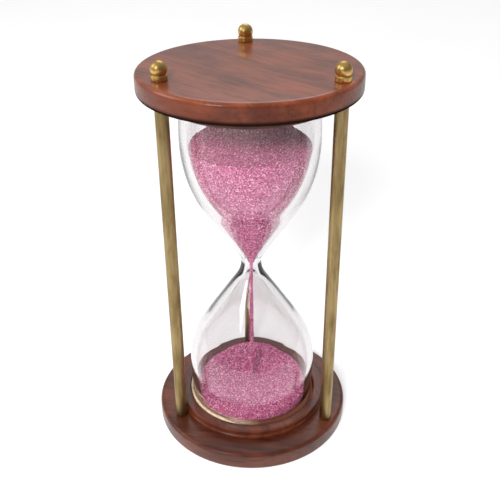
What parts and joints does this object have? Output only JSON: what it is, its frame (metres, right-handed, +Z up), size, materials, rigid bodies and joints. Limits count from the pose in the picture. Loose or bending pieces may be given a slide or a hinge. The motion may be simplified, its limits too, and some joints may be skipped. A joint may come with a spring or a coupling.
{
  "type": "hourglass",
  "caption": "Sand timer: a waisted blown-glass double bulb with pink sand, standing in turned rings between round polished wood discs joined by brass posts with ball finials.",
  "frame": {"origin": "centre of the base disc's underside, which is the face it rests on", "axes": "+Z up along the glass's axis, -Y to the front between the two front posts, +X to the right; one post stands on +Y"},
  "size_m": [0.1, 0.1, 0.1977],
  "materials": {
    "rosewood": "reddish-brown rosewood, turned, lacquered and polished",
    "satin_brass": "satin drawn brass bar",
    "polished_brass": "turned and polished brass",
    "glass": "clear blown glass",
    "sand": "pink dyed sand, loose matt grains",
    "cork": "pale cream cork, unvarnished"
  },
  "bodies": {
    "root": {"base_disc": "rosewood", "top_disc": "rosewood", "base_socket_ring": "rosewood", "top_socket_ring": "rosewood", "glass_bulb": "glass", "sand_upper": "sand", "sand_stream": "sand", "sand_lower": "sand", "base_seat_pad": "cork", "top_seat_pad": "cork", "base_seat_liner": "cork", "top_seat_liner": "cork", "fill_cork": "cork", "post_back": "satin_brass", "finial_back": "polished_brass", "base_screw_back": "polished_brass", "post_left": "satin_brass", "finial_left": "polished_brass", "base_screw_left": "polished_brass", "post_right": "satin_brass", "finial_right": "polished_brass", "base_screw_right": "polished_brass"}
  },
  "joints": []
}
